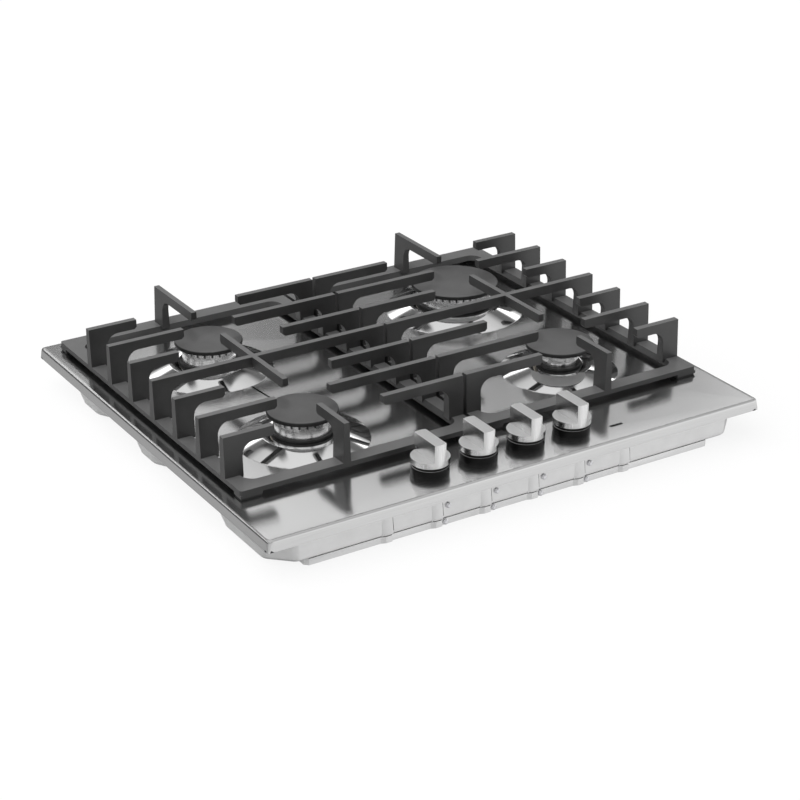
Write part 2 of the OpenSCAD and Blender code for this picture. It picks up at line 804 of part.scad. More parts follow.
module spindle(i) {
    color("gainsboro") translate([knob_xs[i], knob_y, 0]) {
        translate([0, 0, shaft_z]) cylinder(h = disc_z - shaft_z, r = spindle_r);
        translate([0, 0, disc_z]) d_shaft(spindle_r, spindle_top - disc_z, 0);
        intersection() {
            translate([0, 0, shaft_z - tongue_len + slide_gap])
                cylinder(h = tongue_len, r = spindle_r);
            translate([-tongue_w / 2, -2 * spindle_r, shaft_z - tongue_len])
                cube([tongue_w, 4 * spindle_r, 2 * tongue_len]);
        }
    }
}

module gas_manifold() {
    start = [knob_xs[0] - manifold_end, manifold_y];
    corner = [inlet_x, manifold_y];
    finish = [inlet_x, inlet_y - inlet_body_w / 2];
    color("silver") {
        translate([0, 0, manifold_z]) level_pipe([start, corner, finish], manifold_r, bend_r);
        for (x = knob_xs) translate([x, port_y, manifold_z])
            rotate([-90, 0, 0]) cylinder(h = manifold_r, r = boss_r);
    }
}

module gas_inlet() {
    body_top = manifold_z + manifold_r + flange_rim;
    color("goldenrod") {
        translate([inlet_x, inlet_y, inlet_z]) difference() {
            cylinder(h = inlet_len, r = inlet_r);
            translate([0, 0, -over]) cylinder(h = inlet_len, r = inlet_r - 2 * flange_rim);
        }
        translate([inlet_x - inlet_body_w / 2, inlet_y - inlet_body_w / 2, inlet_body_z])
            cube([inlet_body_w, inlet_body_w, body_top - inlet_body_z]);
    }
}

// Route of a burner's supply pipe: ahead from the valve, across and ahead to the cup
function turn_y(i) = by(i) > mid_finger_y ? mid_finger_y + 2 * bend_r
    : front_burner_y - cup_block_w / 2 - 3 * bend_r;
function pipe_route(i) = [
    [knob_xs[i], port_y],
    [knob_xs[i], turn_y(i)],
    [bx(i), turn_y(i)],
    [bx(i), by(i) - cup_block_w / 2]
];

module gas_pipe(i) {
    color("silver") translate([0, 0, pipe_z]) level_pipe(pipe_route(i), pipe_r, bend_r);
}

module pipe_nuts() {
    nut_len = 8;
    color("goldenrod") for (i = [0:3]) {
        translate([knob_xs[i], port_y, pipe_z]) rotate([-90, 0, 0])
            nut(nut_r, nut_len, pipe_r + run_gap);
        translate([bx(i), by(i) - cup_block_w / 2, pipe_z]) rotate([90, 0, 0])
            nut(nut_r, nut_len, pipe_r + run_gap);
    }
}

// Burners

module burner_base(i) {
    cup_r = collar_r(i) - cup_step;
    flange_r = plateau_r(i) - flange_rim;
    flange_top = plateau_z(i) - plate_t;
    color("dimgray") at_burner(i) difference() {
        union() {
            translate([0, 0, flange_top - flange_t]) cylinder(h = flange_t, r = flange_r);
            translate([0, 0, flange_top]) cylinder(h = collar_top(i) - flange_top, r = collar_r(i));
            translate([0, 0, cup_z]) cylinder(h = flange_top - cup_z, r = cup_r);
            translate([-cup_block_w / 2, -cup_block_w / 2, block_z])
                cube([cup_block_w, cup_block_w, cup_z - block_z]);
        }
        translate([0, 0, cup_z + cup_floor_t])
            cylinder(h = collar_top(i) - cup_z, r = cup_r - crown_wall);
        translate([0, 0, pipe_z + pipe_r + over])
            cylinder(h = collar_top(i), r = injector_r + run_gap);
        translate([0, 0, pipe_z]) cylinder(h = pipe_r + 2 * over, r = gas_way_r);
        translate([0, 0, pipe_z]) rotate([90, 0, 0]) cylinder(h = cup_block_w, r = gas_way_r);
        rotate([0, 0, electrode_angle]) translate([pin_ring_r(i), 0, flange_top - flange_t - over])
            cylinder(h = flange_t + 2 * over, r = electrode_r + run_gap);
        rotate([0, 0, thermocouple_angle]) translate([pin_ring_r(i), 0, flange_top - flange_t - over])
            cylinder(h = flange_t + 2 * over, r = thermocouple_r + run_gap);
        for (a = stud_angles) rotate([0, 0, a])
            translate([pin_ring_r(i), 0, flange_top - flange_t - over])
                cylinder(h = flange_t + 2 * over, r = stud_r + run_gap);
    }
}

module injectors() {
    color("goldenrod") for (i = [0:3]) at_burner(i) translate([0, 0, pipe_z + pipe_r + over])
        difference() {
            cylinder(h = injector_len, r = injector_r);
            translate([0, 0, -over]) cylinder(h = injector_len + 2 * over, r = gas_way_r / 2);
        }
}

module burner_nuts() {
    color("silver") for (i = [0:3], a = stud_angles) at_pin(i, a)
        translate([0, 0, plateau_z(i) - plate_t - flange_t - stud_nut_h])
            nut(stud_nut_r, stud_nut_h, stud_r + run_gap);
}

module spreader(i) {
    r = crown_r(i);
    z = collar_top(i) + rest_gap;
    top = cap_under - rest_gap;
    slots = round(2 * PI * r / slot_pitch);
    spigot_r = collar_r(i) - cup_step - crown_wall - slide_gap;
    color("lightgray") at_burner(i) difference() {
        union() {
            translate([0, 0, top - crown_band_h]) cylinder(h = crown_band_h, r = r);
            translate([0, 0, z + crown_neck])
                cylinder(h = top - z - crown_neck, r = r - crown_step);
            translate([0, 0, z])
                cylinder(h = crown_neck, r = r - (i == 3 ? crown_wall : crown_step));
            translate([0, 0, z - spigot_h]) cylinder(h = spigot_h, r = spigot_r);
        }
        translate([0, 0, z + crown_floor_t]) cylinder(h = top - z, r = r - 2 * crown_wall);
        translate([0, 0, z - spigot_h - over])
            cylinder(h = spigot_h + crown_floor_t + 2 * over, r = throat_r);
        for (k = [0:slots - 1]) rotate([0, 0, k * 360 / slots])
            translate([r - 2 * crown_wall - over, -slot_w / 2, top - slot_h])
                cube([2 * crown_wall + 2 * over, slot_w, slot_h + over]);
    }
}

module burner_cap(i) {
    r = cap_r(i);
    ring_r = crown_r(i) - 2 * crown_wall - slide_gap;
    color("dimgray") at_burner(i) translate([0, 0, cap_under]) {
        rotate_extrude() {
            square([r, cap_t - cap_edge_r]);
            square([r - cap_edge_r, cap_t]);
            translate([r - cap_edge_r, cap_t - cap_edge_r]) circle(r = cap_edge_r, $fn = 32);
        }
        translate([0, 0, -cap_ring_h]) difference() {
            cylinder(h = cap_ring_h, r = ring_r);
            translate([0, 0, -over]) cylinder(h = cap_ring_h + over, r = ring_r - cap_ring_w);
        }
    }
}

// Electric parts

module electrodes() {
    color("white") for (i = [0:3]) at_pin(i, electrode_angle) {
        translate([0, 0, electrode_z]) cylinder(h = electrode_top - electrode_z, r = electrode_r);
        translate([0, 0, electrode_top]) cylinder(h = spark_tip_h, r = electrode_r / 2);
        translate([0, 0, plateau_z(i) - plate_t - flange_t - pin_foot_h])
            cylinder(h = pin_foot_h, r = pin_foot_r);
    }
}

module thermocouples() {
    color("silver") for (i = [0:3]) at_pin(i, thermocouple_angle) {
        translate([0, 0, thermocouple_z])
            cylinder(h = thermocouple_top - thermocouple_z, r = thermocouple_r);
        translate([0, 0, plateau_z(i) - plate_t - flange_t - pin_foot_h])
            cylinder(h = pin_foot_h, r = pin_foot_r);
    }
}

function pin_place(i, angle) = [
    bx(i) + pin_ring_r(i) * cos(angle),
    by(i) + pin_ring_r(i) * sin(angle)
];
function post_x(i) = (i == 0 ? -0.5 : i == 1 ? -1.5 : i == 2 ? 1.5 : 0.5) * post_pitch;

module ignition_leads() {
    color("firebrick") translate([0, 0, spark_lead_z]) for (i = [0:3]) {
        pin = pin_place(i, electrode_angle);
        side = bx(i) > 0 ? 1 : -1;
        start = by(i) > mid_finger_y ? [post_x(i) + side * post_w / 2, unit_y]
            : [post_x(i), unit_y - post_w / 2];
        corner = by(i) > mid_finger_y ? [pin[0], unit_y] : [post_x(i), pin[1]];
        finish = by(i) > mid_finger_y ? pin + [0, electrode_r + run_gap]
            : pin - [side * (electrode_r + run_gap), 0];
        level_lead([start, corner, finish], lead_r);
    }
}

module thermocouple_leads() {
    color("tan") translate([0, 0, thermo_lead_z]) for (i = [0:3]) {
        pin = pin_place(i, thermocouple_angle);
        side = bx(i) > 0 ? 1 : -1;
        start = pin - [side * (thermocouple_r + run_gap), 0];
        corner = [knob_xs[i], pin[1]];
        finish = [knob_xs[i], knob_y + bonnet_r + run_gap];
        level_lead([start, corner, finish], thermo_lead_r);
    }
}

module ignition_unit() {
    post_top = spark_lead_z + lead_r + part_gap;
    color("dimgray") {
        translate([-unit_w / 2, unit_y - unit_d / 2, unit_z]) cube([unit_w, unit_d, unit_h]);
        for (i = [0:3]) translate([post_x(i) - post_w / 2, unit_y - post_w / 2, unit_z + unit_h])
            cube([post_w, post_w, post_top - unit_z - unit_h]);
    }
}

module switch_strip() {
    left = knob_xs[0] - rail_margin / 2;
    color("white") translate([0, 0, strip_z]) difference() {
        translate([left, knob_y - strip_w / 2, 0])
            cube([knob_xs[3] - knob_xs[0] + rail_margin, strip_w, strip_t]);
        for (x = knob_xs) translate([x, knob_y, -over])
            cylinder(h = strip_t + 2 * over, r = spindle_hole_r);
    }
}

// Knobs

module knob_bezels() {
    color("black") for (x = knob_xs) translate([x, knob_y, plate_top]) difference() {
        cylinder(h = bezel_h, r = bezel_r);
        translate([0, 0, bezel_floor_t]) cylinder(h = bezel_h, r = bezel_r - bezel_wall);
        translate([0, 0, -over]) cylinder(h = bezel_h, r = spindle_hole_r);
    }
}

module knob_core(i) {
    color("black") translate([knob_xs[i], knob_y, core_z]) difference() {
        cylinder(h = disc_z - core_z, r = core_r);
        translate([0, 0, -over]) cylinder(h = disc_z - core_z + 2 * over, r = spindle_r + run_gap);
    }
}

module knob_cap(i) {
    color("silver") translate([knob_xs[i], knob_y, disc_z]) difference() {
        union() {
            cylinder(h = knob_disc_t, r = knob_r);
            intersection() {
                cylinder(h = knob_top - disc_z, r = knob_r);
                translate([-grip_w / 2, -knob_r, 0]) cube([grip_w, 2 * knob_r, knob_top - disc_z]);
            }
        }
        translate([0, 0, -over]) d_shaft(spindle_r, spindle_top - disc_z + over + slide_gap, run_gap);
    }
}

// Pan supports

// Outline of a finger seen from its side: leg, arm, round under the arm and bevelled tip
module finger_outline(reach, leg, rise, bevel) {
    arm_under = rise - arm_depth;
    square([leg, rise]);
    translate([0, arm_under]) polygon([
        [0, 0], [reach - bevel, 0], [reach, bevel], [reach, arm_depth], [0, arm_depth]
    ]);
    translate([leg, arm_under - under_arm_r]) difference() {
        square(under_arm_r);
        translate([under_arm_r, 0]) circle(r = under_arm_r);
    }
}

// Finger that stands at the origin, points along +X and is thinner at its top
module finger(reach, leg, top_w, foot_w, bevel) {
    root = frame_z + bar_h / 2;
    rise = finger_top - root;
    translate([0, 0, root]) intersection() {
        rotate([90, 0, 0]) linear_extrude(height = 2 * foot_w, center = true)
            finger_outline(reach, leg, rise, bevel);
        rotate([90, 0, 90]) linear_extrude(height = reach) polygon([
            [-foot_w / 2, 0], [foot_w / 2, 0], [top_w / 2, rise], [-top_w / 2, rise]
        ]);
    }
}

module side_fingers() {
    for (k = [0:6]) {
        tip = k == 3 ? 0 : k == 1 || k == 5 ? long_tip_gap : short_tip_gap;
        bevel = k == 3 ? 0 : tip_bevel;
        translate([support_outer, finger_ys[k], 0]) rotate([0, 0, 180])
            finger(support_outer - burner_x - tip, outer_leg_w, finger_top_w, finger_foot_w, bevel);
        translate([support_inner, finger_ys[k], 0])
            finger(burner_x - tip - support_inner, inner_leg_w, finger_top_w, finger_foot_w, bevel);
    }
}

module end_blades() {
    rear_leg_y = support_rear - rear_leg_inset;
    front_reach = front_burner_y - blade_tip_gap - support_front;
    rear_reach = rear_leg_y - rear_burner_y - blade_tip_gap + over;
    translate([burner_x, support_front, 0]) rotate([0, 0, 90])
        finger(front_reach, end_leg_w, blade_top_w, blade_foot_w, tip_bevel);
    translate([burner_x, rear_leg_y, 0]) rotate([0, 0, -90])
        finger(rear_reach, end_leg_w, blade_top_w, blade_foot_w, tip_bevel);
}

module cross_blade() {
    front_tip = front_burner_y + blade_tip_gap;
    rear_tip = rear_burner_y - blade_tip_gap;
    under_w = blade_top_w + (blade_foot_w - blade_top_w) * arm_depth / support_h;
    translate([burner_x, front_tip, finger_top - arm_depth]) intersection() {
        rotate([90, 0, 90]) linear_extrude(height = 2 * blade_foot_w, center = true) polygon([
            [tip_bevel, 0], [rear_tip - front_tip - tip_bevel, 0],
            [rear_tip - front_tip, tip_bevel], [rear_tip - front_tip, arm_depth],
            [0, arm_depth], [0, tip_bevel]
        ]);
        translate([0, rear_tip - front_tip, 0]) rotate([90, 0, 0])
            linear_extrude(height = rear_tip - front_tip) polygon([
                [-under_w / 2, 0], [under_w / 2, 0],
                [blade_top_w / 2, arm_depth], [-blade_top_w / 2, arm_depth]
            ]);
    }
}

// Places of the four feet, given by the frame's corners
module at_feet() {
    for (x = [support_inner, support_outer - lug_len], y = [support_front, support_rear - lug_w])
        translate([x, y, 0]) children();
}

module base_frame() {
    hole_w = support_w - outer_bar_w - inner_bar_w + 2 * bar_slope;
    hole_d = support_d - front_bar_w - rear_bar_w + 2 * bar_slope;
    hole_x = support_mid_x + (inner_bar_w - outer_bar_w) / 2;
    hole_y = support_mid_y + (front_bar_w - rear_bar_w) / 2;
    step = bar_slope * over / bar_h;
    difference() {
        translate([support_mid_x, support_mid_y, frame_z]) linear_extrude(height = bar_h)
            rounded_rect(support_w, support_d, frame_corner_r);
        translate([hole_x, hole_y, frame_z - over])
            tapered_hole(hole_w + 2 * step, hole_d + 2 * step, frame_inner_r, bar_h + 2 * over,
                bar_slope + 2 * step);
    }
    difference() {
        translate([0, 0, frame_z - lug_h]) at_feet() cube([lug_len, lug_w, lug_h]);
        at_feet() translate([lug_len / 2, lug_w / 2, frame_z - lug_h - over])
            cylinder(h = pad_peg_h + over, r = pad_peg_r + run_gap);
    }
}

module pan_support() {
    color("darkslategray") {
        base_frame();
        side_fingers();
        end_blades();
        cross_blade();
    }
}

module support_feet() {
    pad_top = frame_z - lug_h;
    color("black") at_feet() {
        translate([pad_inset, pad_inset, plate_top + rest_gap])
            cube([lug_len - 2 * pad_inset, lug_w - 2 * pad_inset, pad_top - plate_top - rest_gap]);
        translate([lug_len / 2, lug_w / 2, pad_top]) cylinder(h = pad_peg_h - rest_gap, r = pad_peg_r);
    }
}

top_plate();
seal_strip();
housing_box();
base_tray();
front_screws();
valve_rail();
gas_manifold();
gas_inlet();
gas_valve(0);  // valve_1
gas_valve(1);  // valve_2
gas_valve(2);  // valve_3
gas_valve(3);  // valve_4
valve_plug(0);  // valve_plug_1
valve_plug(1);  // valve_plug_2
valve_plug(2);  // valve_plug_3
valve_plug(3);  // valve_plug_4
spindle(0);  // spindle_1
spindle(1);  // spindle_2
spindle(2);  // spindle_3
spindle(3);  // spindle_4
knob_core(0);  // knob_core_1
knob_core(1);  // knob_core_2
knob_core(2);  // knob_core_3
knob_core(3);  // knob_core_4
knob_cap(0);  // knob_cap_1
knob_cap(1);  // knob_cap_2
knob_cap(2);  // knob_cap_3
knob_cap(3);  // knob_cap_4
knob_bezels();
burner_base(0);  // burner_base_front_left
burner_base(1);  // burner_base_rear_left
burner_base(2);  // burner_base_rear_right
burner_base(3);  // burner_base_front_right
spreader(0);  // spreader_front_left
spreader(1);  // spreader_rear_left
spreader(2);  // spreader_rear_right
spreader(3);  // spreader_front_right
burner_cap(0);  // cap_front_left
burner_cap(1);  // cap_rear_left
burner_cap(2);  // cap_rear_right
burner_cap(3);  // cap_front_right
gas_pipe(0);  // pipe_front_left
gas_pipe(1);  // pipe_rear_left
gas_pipe(2);  // pipe_rear_right
gas_pipe(3);  // pipe_front_right
pipe_nuts();
injectors();
burner_nuts();
electrodes();
thermocouples();
ignition_leads();
thermocouple_leads();
ignition_unit();
switch_strip();
mains_gland();
mirror([1, 0, 0]) pan_support();  // pan_support_left
pan_support();  // pan_support_right
mirror([1, 0, 0]) support_feet();  // support_feet_left
support_feet();  // support_feet_right
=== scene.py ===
"""Looks of a built-in gas cooktop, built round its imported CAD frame."""

import json
import math

import bmesh
import bpy
from mathutils import Matrix, Vector

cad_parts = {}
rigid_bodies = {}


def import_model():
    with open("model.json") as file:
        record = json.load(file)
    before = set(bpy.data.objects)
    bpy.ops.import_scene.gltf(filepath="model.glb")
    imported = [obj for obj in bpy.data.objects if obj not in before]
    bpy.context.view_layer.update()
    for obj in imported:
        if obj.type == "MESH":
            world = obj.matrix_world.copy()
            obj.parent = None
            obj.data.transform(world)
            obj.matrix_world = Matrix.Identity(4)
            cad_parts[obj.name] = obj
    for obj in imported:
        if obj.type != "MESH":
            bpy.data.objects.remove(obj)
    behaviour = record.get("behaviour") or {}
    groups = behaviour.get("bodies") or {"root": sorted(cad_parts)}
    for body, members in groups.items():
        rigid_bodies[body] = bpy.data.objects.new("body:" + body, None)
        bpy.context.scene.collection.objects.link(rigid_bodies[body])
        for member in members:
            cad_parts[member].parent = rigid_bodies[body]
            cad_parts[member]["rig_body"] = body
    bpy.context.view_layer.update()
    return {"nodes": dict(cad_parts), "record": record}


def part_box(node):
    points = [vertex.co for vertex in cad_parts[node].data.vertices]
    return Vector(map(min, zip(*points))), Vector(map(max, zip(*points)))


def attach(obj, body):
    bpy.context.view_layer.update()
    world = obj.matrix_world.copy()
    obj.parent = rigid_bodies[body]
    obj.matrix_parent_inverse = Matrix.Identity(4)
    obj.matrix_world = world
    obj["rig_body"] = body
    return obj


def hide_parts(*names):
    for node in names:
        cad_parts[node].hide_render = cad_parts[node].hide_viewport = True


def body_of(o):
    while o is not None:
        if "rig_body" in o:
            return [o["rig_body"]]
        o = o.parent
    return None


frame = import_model()

MM = 0.001
# Two points closer than this along an axis count as level with each other
NEAR = 0.1 * MM
BURNERS = ("front_left", "rear_left", "rear_right", "front_right")
KNOBS = (1, 2, 3, 4)
SIDES = ("left", "right")


# Places read from the frame

def low(node):
    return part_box(node)[0]


def high(node):
    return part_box(node)[1]


def middle(node):
    lo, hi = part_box(node)
    return (Vector(lo) + Vector(hi)) / 2


PLATE_TOP = low("knob_bezels")[2]
PLATE_HALF_W = high("top_plate")[0]
PLATE_HALF_D = high("top_plate")[1]


# Shader helpers

# Range that holds most values of a noise
NOISE_LOW = 0.3
NOISE_HIGH = 0.7
NOISE_ROUGHNESS = 0.55
# Upward part of a face's direction from which it starts to count as level, and where it fully does
LEVEL_FROM = 0.6
LEVEL_TO = 0.95


class Graph:
    """A node tree with short calls for its nodes."""

    def __init__(self, tree):
        self.tree = tree

    def node(self, kind, **settings):
        made = self.tree.nodes.new(kind)
        for key, value in settings.items():
            setattr(made, key, value)
        return made

    def link(self, source, target):
        self.tree.links.new(source, target)

    def feed(self, value, socket):
        """Links an output to a socket, or sets a plain number on it."""
        if isinstance(value, (int, float)):
            socket.default_value = value
        else:
            self.link(value, socket)

    def math(self, operation, *values):
        made = self.node("ShaderNodeMath", operation=operation)
        for value, socket in zip(values, made.inputs):
            self.feed(value, socket)
        return made.outputs["Value"]

    def smooth(self, value, start, end):
        """Rises from 0 at start to 1 at end, also where end is the lower of the two."""
        made = self.node("ShaderNodeMapRange", interpolation_type="SMOOTHSTEP")
        made.inputs["From Min"].default_value = min(start, end)
        made.inputs["From Max"].default_value = max(start, end)
        made.inputs["To Min"].default_value = 0.0 if start < end else 1.0
        made.inputs["To Max"].default_value = 1.0 if start < end else 0.0
        self.link(value, made.inputs["Value"])
        return made.outputs["Result"]

    def pulse(self, value, low_edge, high_edge, soft):
        """1 between the two edges and 0 outside, with soft flanks."""
        rise = self.smooth(value, low_edge - soft, low_edge + soft)
        fall = self.smooth(value, high_edge + soft, high_edge - soft)
        return self.math("MULTIPLY", rise, fall)

    def between(self, factor, a, b):
        """a where the factor is 0, b where it is 1."""
        made = self.node("ShaderNodeMix", data_type="FLOAT")
        self.feed(factor, made.inputs[0])
        self.feed(a, made.inputs[2])
        self.feed(b, made.inputs[3])
        return made.outputs[0]

    def ramp(self, factor, *stops):
        """Colour ramp through (place, grey or colour) stops."""
        made = self.node("ShaderNodeValToRGB")
        while len(made.color_ramp.elements) < len(stops):
            made.color_ramp.elements.new(0.5)
        for element, (place, colour) in zip(made.color_ramp.elements, stops):
            element.position = place
            rgb = (colour,) * 3 if isinstance(colour, (int, float)) else colour
            element.color = (*rgb, 1)
        self.link(factor, made.inputs["Fac"])
        return made.outputs["Color"]

    def choose(self, factor, first, second):
        """Mixes two shaders: the first at 0, the second at 1."""
        made = self.node("ShaderNodeMixShader")
        self.feed(factor, made.inputs["Fac"])
        self.link(first, made.inputs[1])
        self.link(second, made.inputs[2])
        return made.outputs["Shader"]


class Shader(Graph):
    """A node material with one Principled shader."""

    def __init__(self, name, **sockets):
        self.mat = bpy.data.materials.new(name)
        self.mat.use_nodes = True
        super().__init__(self.mat.node_tree)
        self.bsdf = self.tree.nodes["Principled BSDF"]
        for socket, value in sockets.items():
            self.bsdf.inputs[socket.replace("_", " ")].default_value = value
        self.coords = self.node("ShaderNodeTexCoord").outputs["Object"]

    def mapped(self, scale):
        """Object coordinates times a scale along each axis."""
        made = self.node("ShaderNodeMapping")
        made.inputs["Scale"].default_value = scale
        self.link(self.coords, made.inputs["Vector"])
        return made.outputs["Vector"]

    def noise(self, scale, detail=3.0, stretch=(1, 1, 1)):
        """Fine noise over the piece, drawn out along an axis whose stretch is small."""
        made = self.node("ShaderNodeTexNoise")
        made.inputs["Scale"].default_value = scale
        made.inputs["Detail"].default_value = detail
        made.inputs["Roughness"].default_value = NOISE_ROUGHNESS
        self.link(self.mapped(stretch), made.inputs["Vector"])
        return made.outputs["Fac"]

    def spread(self, factor, low_value, high_value):
        """A plain value that follows a noise from low_value to high_value."""
        made = self.node("ShaderNodeMapRange")
        made.inputs["From Min"].default_value = NOISE_LOW
        made.inputs["From Max"].default_value = NOISE_HIGH
        made.inputs["To Min"].default_value = low_value
        made.inputs["To Max"].default_value = high_value
        self.link(factor, made.inputs["Value"])
        return made.outputs["Result"]

    def tones(self, factor, dark, pale):
        """A colour that follows a noise from dark to pale."""
        return self.ramp(factor, (NOISE_LOW, dark), (NOISE_HIGH, pale))

    def bump(self, height, distance, strength):
        made = self.node("ShaderNodeBump")
        made.inputs["Distance"].default_value = distance
        made.inputs["Strength"].default_value = strength
        self.link(height, made.inputs["Height"])
        self.link(made.outputs["Normal"], self.bsdf.inputs["Normal"])

    def tangent(self, x, y, z):
        """Turns the stretched gloss of brushed metal to one direction."""
        made = self.node("ShaderNodeCombineXYZ")
        for socket, value in zip("XYZ", (x, y, z)):
            made.inputs[socket].default_value = value
        self.link(made.outputs["Vector"], self.bsdf.inputs["Tangent"])

    def set(self, source, socket):
        """Links an output to a socket of the Principled shader."""
        self.link(source, self.bsdf.inputs[socket])

    def rise(self):
        """Upward part of the face's direction, from -1 to 1."""
        normal = self.node("ShaderNodeTexCoord").outputs["Normal"]
        split = self.node("ShaderNodeSeparateXYZ")
        self.link(normal, split.inputs["Vector"])
        return split.outputs["Z"]

    def upward(self):
        """1 on level faces that look up, 0 on upright ones."""
        return self.smooth(self.rise(), LEVEL_FROM, LEVEL_TO)

    def downward(self):
        """1 on level faces that look down, 0 on upright ones."""
        return self.smooth(self.math("MULTIPLY", self.rise(), -1.0), LEVEL_FROM, LEVEL_TO)


def grey(value):
    return (value, value, value, 1)


# Materials

def brushed_steel():
    """Stainless sheet brushed from left to right."""
    s = Shader("brushed_steel", Metallic=1.0, Anisotropic=0.7, Roughness=0.2)
    lines = s.noise(1.0, detail=4.0, stretch=(14, 2600, 2600))
    s.set(s.tones(lines, 0.6, 0.67), "Base Color")
    s.set(s.spread(lines, 0.17, 0.22), "Roughness")
    s.bump(lines, distance=0.02 * MM, strength=0.3)
    s.tangent(0, 1, 0)
    return s.mat


def polished_steel():
    """Mirror-polished surrounds with a faint haze."""
    s = Shader("polished_steel", Metallic=1.0, Base_Color=grey(0.86), Roughness=0.07)
    haze = s.noise(40.0)
    s.set(s.spread(haze, 0.05, 0.1), "Roughness")
    return s.mat


def housing_steel():
    """Plain zinc-coated sheet of the box and tray."""
    s = Shader("housing_steel", Metallic=0.85, Roughness=0.34)
    cloud = s.noise(60.0, detail=4.0)
    s.set(s.tones(cloud, 0.64, 0.7), "Base Color")
    s.set(s.spread(cloud, 0.3, 0.38), "Roughness")
    grain = s.noise(900.0, detail=2.0)
    s.bump(grain, distance=0.03 * MM, strength=0.2)
    return s.mat


def cast_iron():
    """Matt black enamel over cast iron, with painted light making it paler where it lies level."""
    s = Shader("cast_iron", Metallic=0.0, Specular_IOR_Level=0.7)
    grain = s.noise(1500.0)
    cloud = s.noise(35.0)
    plain = s.tones(cloud, 0.018, 0.026)
    # Painted light: level faces take a paler tone, standing in for the sheen they catch from above
    painted_top_sheen = s.tones(cloud, 0.1, 0.12)
    s.set(s.between(s.upward(), plain, painted_top_sheen), "Base Color")
    s.set(s.spread(grain, 0.3, 0.42), "Roughness")
    s.bump(grain, distance=0.08 * MM, strength=0.3)
    return s.mat


def cap_enamel():
    """Dark grey satin enamel of the burner caps, with painted shade making it black at the edge and
    painted light making it pale underneath.
    """
    s = Shader("cap_enamel", Metallic=0.0, Roughness=0.4)
    grain = s.noise(2200.0)
    cloud = s.noise(30.0)
    # Painted shade: the upright edge is near black; painted light: the underside is pale, so the
    # polished cones mirror it light
    edge = s.tones(cloud, 0.004, 0.006)
    face = s.tones(cloud, 0.07, 0.09)
    painted_light_underside = s.tones(cloud, 0.7, 0.8)
    s.set(s.between(s.downward(), s.between(s.upward(), edge, face), painted_light_underside), "Base Color")
    s.set(s.spread(grain, 0.34, 0.46), "Roughness")
    s.bump(grain, distance=0.06 * MM, strength=0.35)
    return s.mat


def crown_aluminium():
    """Turned aluminium of the flame spreaders."""
    s = Shader("crown_aluminium", Metallic=1.0, Roughness=0.28)
    turned = s.noise(1.0, stretch=(60, 60, 5000))
    s.set(s.tones(turned, 0.76, 0.88), "Base Color")
    s.set(s.spread(turned, 0.2, 0.32), "Roughness")
    s.bump(turned, distance=0.03 * MM, strength=0.3)
    return s.mat


def dark_aluminium():
    """Dark grey cast metal of the burner bases and their collars."""
    s = Shader("dark_aluminium", Metallic=0.2, Roughness=0.4)
    cloud = s.noise(120.0)
    s.set(s.tones(cloud, 0.012, 0.02), "Base Color")
    s.set(s.spread(cloud, 0.32, 0.45), "Roughness")
    return s.mat


def knob_metal():
    """Knob caps: bright sides, satin tops brushed along the grip."""
    s = Shader("knob_metal", Metallic=1.0)
    lines = s.noise(1.0, stretch=(2400, 60, 60))
    s.set(s.tones(lines, 0.74, 0.82), "Base Color")
    sides = s.spread(lines, 0.2, 0.28)
    tops = s.spread(lines, 0.36, 0.5)
    s.set(s.between(s.upward(), sides, tops), "Roughness")
    return s.mat


def black_plastic():
    """Glossy black plastic, also used for the dark slits painted as shadow beside the ribs and for
    the printed dash.
    """
    s = Shader("black_plastic", Specular_IOR_Level=0.25)
    grain = s.noise(1800.0, detail=2.0)
    s.set(s.tones(grain, 0.004, 0.006), "Base Color")
    s.set(s.spread(grain, 0.16, 0.24), "Roughness")
    return s.mat


def bezel_black():
    """Glossy black, with a grey highlight painted on its level rim."""
    s = Shader("bezel_black", Specular_IOR_Level=0.2)
    grain = s.noise(1800.0, detail=2.0)
    black = s.tones(grain, 0.002, 0.004)
    # Painted highlight: the level rim takes a grey tone where light would glint on the gloss
    painted_rim_highlight = s.tones(grain, 0.16, 0.2)
    s.set(s.between(s.upward(), black, painted_rim_highlight), "Base Color")
    s.set(s.spread(grain, 0.2, 0.3), "Roughness")
    return s.mat


def rubber():
    """Dull black rubber."""
    s = Shader("black_rubber", Roughness=0.7)
    grain = s.noise(1400.0)
    s.set(s.tones(grain, 0.018, 0.026), "Base Color")
    s.set(s.spread(grain, 0.62, 0.78), "Roughness")
    s.bump(grain, distance=0.05 * MM, strength=0.3)
    return s.mat


# Cloud of a simple finish: its scale, and the shares by which it darkens, polishes and dulls
CLOUD_SCALE = 300.0
CLOUD_DARK = 0.9
CLOUD_GLOSSY = 0.85
CLOUD_DULL = 1.15


def simple(name, colour, metallic, roughness):
    """A finish with a little cloud in its colour and its gloss."""
    s = Shader(name, Metallic=metallic)
    cloud = s.noise(CLOUD_SCALE)
    dark = tuple(c * CLOUD_DARK for c in colour)
    s.set(s.tones(cloud, dark, colour), "Base Color")
    s.set(s.spread(cloud, roughness * CLOUD_GLOSSY, roughness * CLOUD_DULL), "Roughness")
    return s.mat


